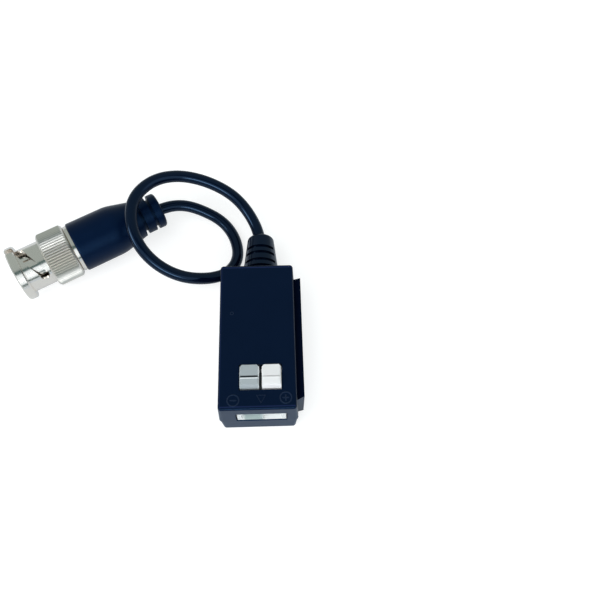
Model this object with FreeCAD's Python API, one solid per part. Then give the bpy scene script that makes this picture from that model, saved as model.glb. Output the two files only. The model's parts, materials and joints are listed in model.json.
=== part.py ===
import FreeCAD
import Part
import math
import os

# Video balun: a snap-together plastic housing with two lever terminals at the near end
# and a short coaxial lead to a bayonet plug at the far end. Millimetres throughout.
# x = 0 is the centre line of the terminals and of the cable outlet, z = 0 the floor,
# +Y runs from the terminals to the cable outlet.

V = FreeCAD.Vector

# How far a cutter reaches past a face, and how deep a joined solid bites into its carrier
OVER = 1.0
BITE = 0.2

# Housing, widest at the cover's rim on the parting line
HOUSING_X = -0.75
RIM_W = 18.7
RIM_L = 36.9
HEIGHT = 15.6
PARTING_Z = 6.3
TOP_DRAFT_X = 0.45
FOOT_DRAFT_X = 0.55
END_DRAFT = 0.05
RIM_STEP = 0.12
RIM_BEVEL = 0.2
CORNER_R = 0.8
TOP_EDGE_R = 0.6
FOOT_EDGE_R = 0.3
SIDE_WALL_T = 1.4
END_WALL_T = 1.45
CEILING_T = 1.25
FLOOR_T = 1.3
CAVITY_CORNER_R = 0.5
HOUSING_LEFT = HOUSING_X - RIM_W / 2
HOUSING_RIGHT = HOUSING_X + RIM_W / 2
NEAR_FACE_Y = -RIM_L / 2
FAR_FACE_Y = RIM_L / 2
CAVITY_HALF_W = HOUSING_RIGHT - SIDE_WALL_T
CAVITY_HALF_L = RIM_L / 2 - END_WALL_T
CEILING_Z = HEIGHT - CEILING_T

# Register lip and snap hooks of the base
LIP_GAP = 0.08
LIP_T = 0.5
LIP_ROOT_DEPTH = 0.8
LIP_ROOT_Z = PARTING_Z - LIP_ROOT_DEPTH
LIP_H = 0.9
LIP_TOP_Z = PARTING_Z + LIP_H
LIP_OUTER_X = CAVITY_HALF_W - LIP_GAP
LIP_INNER_X = LIP_OUTER_X - LIP_T
HOOK_INSET = 8.0
HOOK_Y = CAVITY_HALF_L - HOOK_INSET
HOOK_W = 2.5
HOOK_H = 2.6
HOOK_TOP_Z = PARTING_Z + HOOK_H
HOOK_STEP_H = 1.4
HOOK_STEP_Z = PARTING_Z + HOOK_STEP_H
HOOK_STEP_T = 0.33
HOOK_LAND = 0.25
HOOK_LEAD = 0.1
POCKET_CLEAR = 0.1

# Dovetail that joins one housing to the next
TONGUE_REACH = 1.45
TONGUE_DEPTH = 1.85
TONGUE_X = HOUSING_RIGHT + TONGUE_REACH
TONGUE_ROOT_X = TONGUE_X - TONGUE_DEPTH
TONGUE_OUT_Z0 = 0.75
TONGUE_DROP = 3.5
TONGUE_OUT_Z1 = HEIGHT - TONGUE_DROP
TONGUE_SLOPE = 0.45
TONGUE_NEAR_INSET = 3.2
TONGUE_FAR_INSET = 2.15
TONGUE_NEAR_Y = NEAR_FACE_Y + TONGUE_NEAR_INSET
TONGUE_FAR_Y = FAR_FACE_Y - TONGUE_FAR_INSET
TONGUE_LEAD = 0.7
DOVETAIL_GAP = 0.15
GROOVE_FLOOR_X = HOUSING_LEFT + TONGUE_REACH + DOVETAIL_GAP
GROOVE_MOUTH_X = HOUSING_LEFT - OVER
GROOVE_NEAR_Y = TONGUE_NEAR_Y - DOVETAIL_GAP
GROOVE_ENTRY_L = 4.75
GROOVE_ENTRY_Y = FAR_FACE_Y - GROOVE_ENTRY_L

# Terminal block, its two poles shared out over its width
BLOCK_SIDE_GAP = 0.92
BLOCK_HALF_W = LIP_INNER_X - BLOCK_SIDE_GAP
BLOCK_WALL_T = 0.86
BLOCK_WEB_T = 0.48
POCKET_HALF_W = (BLOCK_HALF_W - BLOCK_WALL_T - BLOCK_WEB_T / 2) / 2
POLE_X = BLOCK_WEB_T / 2 + POCKET_HALF_W
BLOCK_GAP = 0.05
BLOCK_L = 10.4
BLOCK_Y0 = -CAVITY_HALF_L + BLOCK_GAP
BLOCK_Y1 = BLOCK_Y0 + BLOCK_L
BLOCK_TOP_GAP = 0.15
BLOCK_TOP_Z = CEILING_Z - BLOCK_TOP_GAP
WIRE_R = 1.1
WIRE_RISE = 2.3
WIRE_Z = PARTING_Z + WIRE_RISE
BORE_INSET = 1.0
BORE_L = 3.0
BORE_Y0 = BLOCK_Y0 + BORE_INSET
BORE_Y1 = BORE_Y0 + BORE_L
FUNNEL_HALF_W = POCKET_HALF_W - 0.1
FUNNEL_HALF_H = 1.75
CHAMBER_HALF_W = POCKET_HALF_W - 0.3
CHAMBER_RISE = 1.9
CHAMBER_TOP_Z = WIRE_Z + CHAMBER_RISE
PLATE_DROP = 1.7
PLATE_Z = WIRE_Z - PLATE_DROP
PLATE_T = 0.5
PIVOT_INSET = 8.2
PIVOT_Y = BLOCK_Y0 + PIVOT_INSET
PIVOT_DEPTH = 0.5
PIVOT_Z = BLOCK_TOP_Z - PIVOT_DEPTH
PIVOT_R = 0.55
PIVOT_CLEAR = 0.05
PIVOT_OUTER_L = 0.35
PIVOT_INNER_L = 0.2

# Levers
LEVER_HALF_W = POCKET_HALF_W - 0.1
LEVER_FACE_R = 4.95
LEVER_PROUD = 0.95
LEVER_TOP_Z = HEIGHT + LEVER_PROUD
LEVER_DROP = 1.7
LEVER_UNDER_Z = PIVOT_Z - LEVER_DROP
LEVER_STEP = 2.35
LEVER_STEP_Y = PIVOT_Y - LEVER_STEP
LEVER_GROOVE_W = 0.4
LEVER_GROOVE_DEPTH = 0.5
LEVER_GROOVE_Z = LEVER_TOP_Z - LEVER_GROOVE_DEPTH
LEVER_SLOPE_Y = LEVER_STEP_Y + LEVER_GROOVE_W
LEVER_SLOPE_DEPTH = 0.2
LEVER_SLOPE_Z = LEVER_TOP_Z - LEVER_SLOPE_DEPTH
LEVER_BACK = 0.85
LEVER_BACK_Y = PIVOT_Y + LEVER_BACK
LEVER_BACK_DEPTH = 0.6
LEVER_BACK_Z = LEVER_TOP_Z - LEVER_BACK_DEPTH
LEVER_BEVEL = 0.3
LEVER_CORNER = 0.5
NOSE_HALF_W = CHAMBER_HALF_W - 0.1

# Clamp springs
CLAMP_T = 0.3
CLAMP_HALF_W = CHAMBER_HALF_W - 0.2
CLAMP_REACH = 3.2
CLAMP_TIP_Y = PIVOT_Y - CLAMP_REACH
CLAMP_DROP = 0.9
CLAMP_TIP_Z = WIRE_Z - CLAMP_DROP
CLAMP_RISE = math.radians(32.5)
CLAMP_BEND_R = 0.7
CLAMP_BACK = 1.1
CLAMP_LEG_Y = PIVOT_Y + CLAMP_BACK
PUSH_R = 0.4
PUSH_GAP = 0.1
PUSH_AHEAD = 1.25
PUSH_Y = PIVOT_Y - PUSH_AHEAD
CLAMP_TOP_Y = CLAMP_TIP_Y - CLAMP_T / 2 * math.sin(CLAMP_RISE)
CLAMP_TOP_Z = CLAMP_TIP_Z + CLAMP_T / 2 * math.cos(CLAMP_RISE)
PUSH_LINE_Z = CLAMP_TOP_Z + (PUSH_Y - CLAMP_TOP_Y) * math.tan(CLAMP_RISE)
PUSH_Z = PUSH_LINE_Z + (PUSH_R + PUSH_GAP) / math.cos(CLAMP_RISE)

# Windows in the cover, the block's nose in the near one and the pockets under the other
WINDOW_GAP = 0.25
WINDOW_HALF_W = BLOCK_HALF_W + WINDOW_GAP
WINDOW_RISE = 3.3
WINDOW_TOP_Z = WIRE_Z + WINDOW_RISE
NOSE_INSET = 0.35
NOSE_Y = NEAR_FACE_Y + NOSE_INSET
NOSE_Z0 = PARTING_Z + BLOCK_GAP
NOSE_Z1 = WINDOW_TOP_Z - WINDOW_GAP
LIP_CUT_HALF_W = WINDOW_HALF_W + WINDOW_GAP
LEVER_GAP = 0.15
LEVER_WINDOW_HALF_W = POLE_X + LEVER_HALF_W + 0.2
LEVER_WINDOW_Y0 = PIVOT_Y - LEVER_FACE_R - LEVER_GAP
LEVER_WINDOW_Y1 = LEVER_BACK_Y + LEVER_GAP
POCKET_Y0 = LEVER_WINDOW_Y0 - 0.1
POCKET_Y1 = LEVER_BACK_Y + 0.4

# Circuit board and what stands on it
BOARD_HALF_W = CAVITY_HALF_W - 0.7
BOARD_LIFT = 1.9
BOARD_Z0 = FLOOR_T + BOARD_LIFT
BOARD_T = 1.0
BOARD_TOP = BOARD_Z0 + BOARD_T
POST_W = 1.6
PIN_SHOULDER_H = 1.2
PIN_SHOULDER_Z = BOARD_TOP + PIN_SHOULDER_H
PIN_TIP_L = 0.9
PIN_TIP_Z = BOARD_Z0 - PIN_TIP_L
PIN_HALF_W = 0.4
CONTACT_HALF_W = CHAMBER_HALF_W - 0.3
CONTACT_Y0 = BORE_Y1 + 0.1
RISER_Y1 = BLOCK_Y1 - 0.1
RISER_Y0 = RISER_Y1 - PLATE_T
CAPACITOR_R = 1.9
CAPACITOR_T = 1.3
CAPACITOR_EDGE_R = 0.45
CAPACITOR_LEG_X = 1.0
CORE_R_OUT = 3.75
CORE_R_IN = 1.8
CORE_H = 3.7
WIRE_T = 0.35
WIND_GAP = 0.1
TURNS = 8
TURN_STEP = 20.0
TIE_H = 0.3
ARRESTER_R = 1.6
ARRESTER_CAP_R = 1.75
ARRESTER_CAP_L = 0.8
ARRESTER_HALF_L = 2.6
ARRESTER_LEG_W = 0.5

# Cable outlet, held between the far wall and a rib
GLAND_Z = PARTING_Z
GLAND_HOLE_R = 4.4
GLAND_NECK_R = GLAND_HOLE_R - 0.1
FLANGE_R = 5.5
FLANGE_Y1 = CAVITY_HALF_L - 0.25
FLANGE_T = 1.3
FLANGE_Y0 = FLANGE_Y1 - FLANGE_T
RIB_Y1 = FLANGE_Y0 - 0.2
RIB_T = 0.9
RIB_Y0 = RIB_Y1 - RIB_T
RIB_NOTCH_R = 2.6
BOARD_Y0 = BLOCK_Y0 + 0.75
BOARD_Y1 = RIB_Y0 - 0.7
OUTSIDE_Y = FAR_FACE_Y + 0.05
GLAND_L = 13.0
GLAND_TIP_Y = OUTSIDE_Y + GLAND_L
GLAND_ROOT_R = 5.1
GLAND_WAIST_R = 4.35
GLAND_ROOT_L = 5.1
GLAND_WAIST_Y = OUTSIDE_Y + GLAND_ROOT_L
GLAND_END_R = 3.55
GLAND_END_EDGE_R = 1.1
RING_GROOVES = (2.6, 4.5, 6.8, 8.7)
RING_GROOVE_W = 0.8
RING_GROOVE_DEPTH = 0.85
RING_WEB_DEG = 30.0
CORE_WIRE_R = 0.55
CORE_PAD_INSET = 1.7
CORE_PAD_Y = BOARD_Y1 - CORE_PAD_INSET
SHIELD_WIRE_R = 0.45
SHIELD_X = -1.75
SHIELD_PAD_INSET = 1.2
SHIELD_PAD_Y = BOARD_Y1 - SHIELD_PAD_INSET

# The parts on the board stand at even gaps between the block and the core wire
CORE_SPAN = 2 * (CORE_R_OUT + WIND_GAP + WIRE_T)
ARRESTER_SPAN = 2 * ARRESTER_CAP_R
ROOM_L = CORE_PAD_Y - CORE_WIRE_R - BLOCK_Y1
PART_GAP = (ROOM_L - CAPACITOR_T - CORE_SPAN - ARRESTER_SPAN) / 4
CAPACITOR_Y = BLOCK_Y1 + PART_GAP + CAPACITOR_T / 2
CORE_Y = CAPACITOR_Y + CAPACITOR_T / 2 + PART_GAP + CORE_SPAN / 2
ARRESTER_Y = CORE_Y + CORE_SPAN / 2 + PART_GAP + ARRESTER_SPAN / 2

# Cord
CORD_R = 1.55
CORD_FIT = 0.07
CORD_BORE_R = CORD_R + CORD_FIT
CORD_MOUTH_R = 2.1
CORD_MOUTH_L = 1.4
CORD_SEAT_L = 3.9
CORD_START_Y = GLAND_TIP_Y - CORD_SEAT_L
CORD_POINTS = (
    (0.0, CORD_START_Y, GLAND_Z),
    (0.0, GLAND_TIP_Y + 0.8, GLAND_Z),
    (-3.04, 38.9, 8.2),
    (-7.6, 43.1, 11.2),
    (-14.5, 45.5, 14.0),
    (-21.7, 45.9, 16.0),
    (-27.9, 43.4, 17.3),
    (-32.4, 37.8, 17.6),
    (-32.8, 30.9, 16.6),
    (-30.8, 25.6, 13.8),
    (-26.6, 21.8, 10.4),
    (-20.7, 19.76, 7.4),
    (-14.01, 20.33, 4.9),
    (-8.83, 23.04, 2.8),
    (-6.14, 28.29, 1.6),
    (-7.03, 34.7, 1.6),
    (-10.6, 39.9, 2.6),
    (-16.6, 42.3, 4.9),
    (-21.6, 42.95, 6.5),
)

# Bayonet plug, stations counted along its axis from the front of the ring
PLUG_X = -62.85
PLUG_Y = 21.5
PLUG_YAW = 29.0
RING_R = 7.25
PLUG_POS = V(PLUG_X, PLUG_Y, RING_R)
RING_END = 2.15
RING_EDGE = 0.3
TUBE_R = 5.8
SLEEVE_WALL_T = 0.85
SLEEVE_BORE_R = TUBE_R - SLEEVE_WALL_T
KNURL_START = 8.2
KNURL_END = 15.15
KNURL_TEETH = 64
KNURL_DEPTH = 0.32
KNURL_BEVEL = 0.55
SLOT_W = 2.05
LOCK_HOLE_R = 1.15
SLOT_ENTRY_S = 3.0
SLOT_LOCK_S = 6.3
SLOT_ENTRY_DEG = -25.0
SLEEVE_LIP_L = 2.15
LIP_START = KNURL_END - SLEEVE_LIP_L
SOCKET_ROOM = 0.9
SHELL_R = SLEEVE_BORE_R - SOCKET_ROOM
SHELL_WALL_T = 0.45
SHELL_BORE_R = SHELL_R - SHELL_WALL_T
SHELL_FRONT = 1.0
SHELL_SLOT_W = 0.5
SHELL_TUBE_R = SHELL_R - 0.15
LIP_BORE_R = SHELL_TUBE_R + 0.1
PLUG_FLANGE_R = SLEEVE_BORE_R - 0.15
PLUG_FLANGE_T = 0.8
WASHER_T = 0.5
WASHER_S0 = LIP_START - 0.05 - WASHER_T
WASHER_BORE_R = SHELL_TUBE_R + 0.08
SPRING_SPACE = 2.75
FLANGE_S1 = WASHER_S0 - SPRING_SPACE
FLANGE_S0 = FLANGE_S1 - PLUG_FLANGE_T
SHELL_SLOT_END = FLANGE_S0 - 0.9
GASKET_T = 0.7
GASKET_R_IN = SHELL_R + 0.05
SPRING_TURNS = 2.75
SPRING_WIRE_T = 0.34
SPRING_WIRE_W = 0.54
SPRING_END_GAP = 0.03
SPRING_PITCH = (SPRING_SPACE - SPRING_WIRE_T - 2 * SPRING_END_GAP) / SPRING_TURNS
BACK_FLANGE_R = 6.3
BACK_FLANGE_S0 = KNURL_END + 0.1
BACK_FLANGE_T = 0.95
BOOT_FRONT = BACK_FLANGE_S0 + BACK_FLANGE_T
SHELL_END = BOOT_FRONT - 0.3
PRESS_FIT = 0.03
INSULATOR_R = 2.4
INSULATOR_INSET = 3.0
INSULATOR_FRONT = SHELL_FRONT + INSULATOR_INSET
PIN_R = 0.675
PIN_INSET = 1.2
PIN_FRONT = SHELL_FRONT + PIN_INSET
PIN_BACK_L = 1.5
PIN_END = SHELL_END + PIN_BACK_L
SPIGOT_R = 2.2
SPIGOT_WALL_T = 0.7
FERRULE_BORE_R = SPIGOT_R + 0.05
FERRULE_WALL_T = 0.75
FERRULE_R = FERRULE_BORE_R + FERRULE_WALL_T
FERRULE_L = 8.8
FERRULE_END = BOOT_FRONT + FERRULE_L
SPIGOT_END = FERRULE_END - 0.5

# Boot
BOOT_L = 24.3
BOOT_END = BOOT_FRONT + BOOT_L
BOOT_R = 6.7
BOOT_FRONT_EDGE_R = 0.5
BOOT_BARREL_L = 9.8
BOOT_BARREL_END = BOOT_FRONT + BOOT_BARREL_L
BOOT_SHOULDER_R = 11.0
BOOT_CONE = math.radians(13.6)
BOOT_NECK_L = 6.2
BOOT_CONE_END = BOOT_END - BOOT_NECK_L
BOOT_NECK_R = 3.75
BOOT_RIB_R = 4.75
BOOT_RIB_L = 2.3
BOOT_NOTCH_L = 0.85
BOOT_RIB_S0 = BOOT_CONE_END + BOOT_NOTCH_L
BOOT_RIB_S1 = BOOT_RIB_S0 + BOOT_RIB_L
BOOT_END_RIB_S0 = BOOT_RIB_S1 + BOOT_NOTCH_L
BOOT_END_EDGE_R = 0.8
BOOT_CAVITY_R = FERRULE_R + 0.05
BOOT_CAVITY_END = FERRULE_END + 0.3
CORD_END_S = BOOT_END - CORD_SEAT_L
CORD_TURN_L = 1.05
CORD_TURN_S = BOOT_END + CORD_TURN_L


def box(x0, x1, y0, y1, z0, z1):
    return Part.makeBox(x1 - x0, y1 - y0, z1 - z0, V(x0, y0, z0))


def closed_face(points):
    """A flat face from corner points; a point given as (middle, end) is the far end of an arc."""
    edges = []
    here = points[0]
    for item in list(points[1:]) + [points[0]]:
        if isinstance(item, tuple):
            middle, end = item
            edges.append(Part.Arc(here, middle, end).toShape())
            here = end
        else:
            edges.append(Part.makeLine(here, item))
            here = item
    return Part.Face(Part.Wire(edges))


def prism_x(points, x0, x1):
    """Extrude an outline given in (y, z) from x0 to x1."""
    face = closed_face([V(x0, y, z) for y, z in points])
    return face.extrude(V(x1 - x0, 0, 0))


def prism_y(points, y0, y1):
    """Extrude an outline given in (x, z) from y0 to y1."""
    face = closed_face([V(x, y0, z) for x, z in points])
    return face.extrude(V(0, y1 - y0, 0))


def prism_z(points, z0, z1):
    """Extrude an outline given in (x, y) from z0 to z1."""
    face = closed_face([V(x, y, z0) for x, y in points])
    return face.extrude(V(0, 0, z1 - z0))


def arc_of(centre, radius, first, last):
    """An arc of a turned outline, from one angle to another, as its middle and its end."""
    half_way = (first + last) / 2
    return tuple((centre[0] + radius * math.cos(a), centre[1] + radius * math.sin(a))
                 for a in (half_way, last))


def turned(profile):
    """Turn an outline given in (radius, station) round the Z axis; arcs come from arc_of."""
    points = []
    for item in profile:
        if isinstance(item[0], tuple):
            middle, end = item
            points.append((V(middle[0], 0, middle[1]), V(end[0], 0, end[1])))
        else:
            points.append(V(item[0], 0, item[1]))
    return closed_face(points).revolve(V(0, 0, 0), V(0, 0, 1), 360)


def pipe_z(radius, z0, z1):
    return Part.makeCylinder(radius, z1 - z0, V(0, 0, z0))


def to_gland(shape):
    """Lay a shape built along Z onto the axis of the cable outlet, along +Y."""
    moved = shape.copy()
    moved.rotate(V(0, 0, 0), V(1, 0, 0), -90)
    moved.translate(V(0, 0, GLAND_Z))
    return moved


def to_plug(shape):
    """Lay a shape built along Z onto the axis of the plug, front end first."""
    moved = shape.copy()
    moved.rotate(V(0, 0, 0), V(0, 1, 0), 90)
    moved.rotate(V(0, 0, 0), V(0, 0, 1), PLUG_YAW)
    moved.translate(PLUG_POS)
    return moved


def plug_point(station):
    yaw = math.radians(PLUG_YAW)
    return PLUG_POS + V(math.cos(yaw), math.sin(yaw), 0) * station


def rounded_outline(width, length, radius, z):
    """A rounded rectangle on the housing's centre line, as a closed wire."""
    x = width / 2
    y = length / 2
    k = radius * (1 - math.sqrt(0.5))
    ends = []
    for sx, sy in ((1, 1), (-1, 1), (-1, -1), (1, -1)):
        a = V(HOUSING_X + sx * x, sy * (y - radius), z)
        b = V(HOUSING_X + sx * (x - radius), sy * y, z)
        m = V(HOUSING_X + sx * (x - k), sy * (y - k), z)
        if sx * sy > 0:
            ends.append((a, m, b))
        else:
            ends.append((b, m, a))
    edges = []
    for i in range(4):
        a, m, b = ends[i]
        following = ends[(i + 1) % 4][0]
        edges.append(Part.Arc(a, m, b).toShape())
        edges.append(Part.makeLine(b, following))
    return Part.Wire(edges)


def drafted_block(outlines):
    return Part.makeLoft(outlines, True, True)


def flat_edges(shape, z):
    """The edges that lie at one height."""
    found = []
    for edge in shape.Edges:
        extent = edge.BoundBox
        if abs(extent.ZMin - z) < 1e-4 and abs(extent.ZMax - z) < 1e-4:
            found.append(edge)
    return found


def cavity(z0, z1):
    block = box(-CAVITY_HALF_W, CAVITY_HALF_W, -CAVITY_HALF_L, CAVITY_HALF_L, z0, z1)
    upright = [e for e in block.Edges if e.BoundBox.ZLength > 0.9 * (z1 - z0)]
    return block.makeFillet(CAVITY_CORNER_R, upright)


def dovetail_tongue():
    root_z0 = TONGUE_OUT_Z0 + TONGUE_SLOPE * TONGUE_DEPTH
    root_z1 = TONGUE_OUT_Z1 - TONGUE_SLOPE * TONGUE_DEPTH
    section = (
        (CAVITY_HALF_W + 2 * BITE, root_z0 + BITE),
        (TONGUE_ROOT_X, root_z0),
        (TONGUE_X, TONGUE_OUT_Z0),
        (TONGUE_X, TONGUE_OUT_Z1),
        (TONGUE_ROOT_X, root_z1),
        (CAVITY_HALF_W + 2 * BITE, root_z1 - BITE),
    )
    tongue = prism_y(section, TONGUE_NEAR_Y, TONGUE_FAR_Y)
    lead = (
        (TONGUE_ROOT_X, TONGUE_NEAR_Y),
        (TONGUE_X + OVER, TONGUE_NEAR_Y + TONGUE_LEAD * (TONGUE_DEPTH + OVER) / TONGUE_DEPTH),
        (TONGUE_X + OVER, TONGUE_NEAR_Y - OVER),
        (TONGUE_ROOT_X, TONGUE_NEAR_Y - OVER),
    )
    return tongue.cut(prism_z(lead, 0, HEIGHT))


def dovetail_groove():
    """The neighbour's tongue with its clearance, open at the far end, with a wider way in there."""
    z0 = TONGUE_OUT_Z0 - DOVETAIL_GAP
    z1 = TONGUE_OUT_Z1 + DOVETAIL_GAP
    narrowing = (GROOVE_FLOOR_X - GROOVE_MOUTH_X) * TONGUE_SLOPE
    section = (
        (GROOVE_FLOOR_X, z0),
        (GROOVE_FLOOR_X, z1),
        (GROOVE_MOUTH_X, z1 - narrowing),
        (GROOVE_MOUTH_X, z0 + narrowing),
    )
    groove = prism_y(section, GROOVE_NEAR_Y, FAR_FACE_Y + OVER)
    way_in = box(GROOVE_MOUTH_X, GROOVE_FLOOR_X, GROOVE_ENTRY_Y, FAR_FACE_Y + OVER, z0, z1)
    return groove.fuse(way_in)


def above_parting(shape):
    return shape.common(box(-RIM_L, RIM_L, -RIM_L, RIM_L, PARTING_Z, HEIGHT + OVER))


def below_parting(shape):
    return shape.common(box(-RIM_L, RIM_L, -RIM_L, RIM_L, -OVER, PARTING_Z))


def gland_hole():
    return to_gland(pipe_z(GLAND_HOLE_R, CAVITY_HALF_L - BITE, FAR_FACE_Y + OVER))


def rib_notch():
    return to_gland(pipe_z(RIB_NOTCH_R, RIB_Y0 - OVER, RIB_Y1 + OVER))


def register_lip():
    outer_y = CAVITY_HALF_L - LIP_GAP
    inner_y = outer_y - LIP_T
    lip = box(-LIP_OUTER_X, LIP_OUTER_X, -outer_y, outer_y, LIP_ROOT_Z, LIP_TOP_Z)
    root_x = CAVITY_HALF_W + BITE
    root_y = CAVITY_HALF_L + BITE
    ring = lip.fuse(box(-root_x, root_x, -root_y, root_y, LIP_ROOT_Z, PARTING_Z))
    ring = ring.cut(box(-LIP_INNER_X, LIP_INNER_X, -inner_y, inner_y, LIP_ROOT_Z - OVER, LIP_TOP_Z + OVER))
    gap = LIP_CUT_HALF_W
    ring = ring.cut(box(-gap, gap, -RIM_L, RIM_L, PARTING_Z, LIP_TOP_Z + OVER))
    return ring.cut(box(-gap, gap, -CAVITY_HALF_L, CAVITY_HALF_L, LIP_ROOT_Z - OVER, PARTING_Z))


def snap_hook(side, y):
    section = (
        (side * LIP_INNER_X, LIP_ROOT_Z),
        (side * LIP_OUTER_X, LIP_ROOT_Z),
        (side * LIP_OUTER_X, HOOK_STEP_Z),
        (side * (LIP_OUTER_X + HOOK_STEP_T), HOOK_STEP_Z),
        (side * (LIP_OUTER_X + HOOK_STEP_T), HOOK_STEP_Z + HOOK_LAND),
        (side * (LIP_OUTER_X - HOOK_LEAD), HOOK_TOP_Z),
        (side * LIP_INNER_X, HOOK_TOP_Z),
    )
    return prism_y(section, y - HOOK_W / 2, y + HOOK_W / 2)


def hook_pocket(side, y):
    depth = LIP_OUTER_X + HOOK_STEP_T + POCKET_CLEAR
    half = HOOK_W / 2 + POCKET_CLEAR
    ends = sorted((side * (CAVITY_HALF_W - BITE), side * depth))
    return box(ends[0], ends[1], y - half, y + half, HOOK_STEP_Z - POCKET_CLEAR, HOOK_TOP_Z)


def base_outline(draft_x, draft_y, z):
    return rounded_outline(RIM_W - 2 * draft_x, RIM_L - 2 * draft_y, CORNER_R, z)


def make_base():
    step = RIM_STEP
    outer = drafted_block([
        base_outline(FOOT_DRAFT_X, step + END_DRAFT, 0),
        base_outline(step, step, PARTING_Z - RIM_BEVEL),
        base_outline(step + RIM_BEVEL, step + RIM_BEVEL, PARTING_Z),
    ])
    outer = outer.makeFillet(FOOT_EDGE_R, flat_edges(outer, 0))
    shell = outer.fuse(below_parting(dovetail_tongue()))
    shell = shell.cut(cavity(FLOOR_T, PARTING_Z + OVER))
    shell = shell.cut(dovetail_groove())
    rib_x = CAVITY_HALF_W + BITE
    rib = box(-rib_x, rib_x, RIB_Y0, RIB_Y1, FLOOR_T - BITE, PARTING_Z - LIP_GAP)
    shell = shell.fuse(rib.cut(rib_notch()))
    shell = shell.fuse(register_lip())
    for side in (-1, 1):
        for y in (-HOOK_Y, HOOK_Y):
            shell = shell.fuse(snap_hook(side, y))
    for x in (-BOARD_HALF_W, BOARD_HALF_W - POST_W):
        for y in (BOARD_Y0, BOARD_Y1 - POST_W):
            shell = shell.fuse(box(x, x + POST_W, y, y + POST_W, FLOOR_T - BITE, BOARD_Z0))
    return shell.cut(gland_hole()).removeSplitter()


def make_cover():
    outer = drafted_block([
        base_outline(0, 0, PARTING_Z),
        base_outline(TOP_DRAFT_X, END_DRAFT, HEIGHT),
    ])
    outer = outer.makeFillet(TOP_EDGE_R, flat_edges(outer, HEIGHT))
    shell = outer.fuse(above_parting(dovetail_tongue()))
    shell = shell.cut(cavity(PARTING_Z - OVER, CEILING_Z))
    shell = shell.cut(dovetail_groove())
    shell = shell.cut(box(-WINDOW_HALF_W, WINDOW_HALF_W, -RIM_L, -CAVITY_HALF_L + BITE,
                          PARTING_Z - OVER, WINDOW_TOP_Z))
    shell = shell.cut(box(-LEVER_WINDOW_HALF_W, LEVER_WINDOW_HALF_W, LEVER_WINDOW_Y0,
                          LEVER_WINDOW_Y1, CEILING_Z - OVER, HEIGHT + OVER))
    rib_x = CAVITY_HALF_W + BITE
    narrow_x = LIP_INNER_X - LIP_GAP
    split_z = LIP_TOP_Z + LIP_GAP
    rib = box(-rib_x, rib_x, RIB_Y0, RIB_Y1, split_z, CEILING_Z + BITE)
    rib = rib.fuse(box(-narrow_x, narrow_x, RIB_Y0, RIB_Y1, PARTING_Z + LIP_GAP, split_z))
    shell = shell.fuse(rib.cut(rib_notch()))
    for side in (-1, 1):
        for y in (-HOOK_Y, HOOK_Y):
            shell = shell.cut(hook_pocket(side, y))
    return shell.cut(gland_hole()).removeSplitter()


def wire_funnel(x):
    """The wide mouth that narrows onto the wire bore."""
    def frame_at(y, half_w, half_h):
        corners = []
        for sx, sz in ((-1, -1), (1, -1), (1, 1), (-1, 1)):
            corners.append(V(x + sx * half_w, y, WIRE_Z + sz * half_h))
        return Part.makePolygon(corners + [corners[0]])
    outer = frame_at(NOSE_Y, FUNNEL_HALF_W, FUNNEL_HALF_H)
    inner = frame_at(BORE_Y0, WIRE_R, WIRE_R)
    return Part.makeLoft([outer, inner], True, True)


def pole_space(x):
    """All that is hollow round one pole: mouth, bore, clamp chamber, lever pocket, pivot seats."""
    space = wire_funnel(x)
    bore = Part.makeCylinder(WIRE_R, BORE_L + 2 * BITE, V(x, BORE_Y0 - BITE, WIRE_Z), V(0, 1, 0))
    space = space.fuse(bore)
    half = CHAMBER_HALF_W
    behind = BLOCK_Y1 + OVER
    space = space.fuse(box(x - half, x + half, BORE_Y1, behind, PLATE_Z, CHAMBER_TOP_Z))
    slot_y = RISER_Y0 - BITE
    space = space.fuse(box(x - half, x + half, slot_y, behind, PIN_SHOULDER_Z - BITE, CHAMBER_TOP_Z))
    slot = PIN_HALF_W + BITE
    space = space.fuse(box(x - slot, x + slot, slot_y, behind, BOARD_TOP - OVER, PIN_SHOULDER_Z))
    half = POCKET_HALF_W
    pocket = box(x - half, x + half, POCKET_Y0, POCKET_Y1, CHAMBER_TOP_Z - BITE, BLOCK_TOP_Z + OVER)
    return space.fuse(pocket)


def make_terminal_block():
    block = box(-BLOCK_HALF_W, BLOCK_HALF_W, BLOCK_Y0, BLOCK_Y1, BOARD_TOP, BLOCK_TOP_Z)
    nose = box(-BLOCK_HALF_W, BLOCK_HALF_W, NOSE_Y, BLOCK_Y0 + BITE, NOSE_Z0, NOSE_Z1)
    block = block.fuse(nose)
    for x in (-POLE_X, POLE_X):
        block = block.cut(pole_space(x))
    seat_r = PIVOT_R + PIVOT_CLEAR
    reach = POLE_X + LEVER_HALF_W + PIVOT_OUTER_L + PIVOT_CLEAR
    seat = Part.makeCylinder(seat_r, 2 * reach, V(-reach, PIVOT_Y, PIVOT_Z), V(1, 0, 0))
    way_in = box(-reach, reach, PIVOT_Y - seat_r, PIVOT_Y + seat_r, PIVOT_Z, BLOCK_TOP_Z + OVER)
    return block.cut(seat.fuse(way_in)).removeSplitter()


def lever_outline():
    """Side view of a lever: thumb face on an arc round the pivot, cross groove, falling back."""
    def on_face(z):
        return V(0, PIVOT_Y - math.sqrt(LEVER_FACE_R ** 2 - (z - PIVOT_Z) ** 2), z)
    return [
        on_face(LEVER_UNDER_Z),
        (on_face(PIVOT_Z), on_face(LEVER_TOP_Z)),
        V(0, LEVER_STEP_Y, LEVER_TOP_Z),
        V(0, LEVER_STEP_Y, LEVER_GROOVE_Z),
        V(0, LEVER_SLOPE_Y, LEVER_GROOVE_Z),
        V(0, LEVER_SLOPE_Y, LEVER_SLOPE_Z),
        V(0, LEVER_BACK_Y, LEVER_BACK_Z),
        V(0, LEVER_BACK_Y, LEVER_UNDER_Z),
    ]


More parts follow.
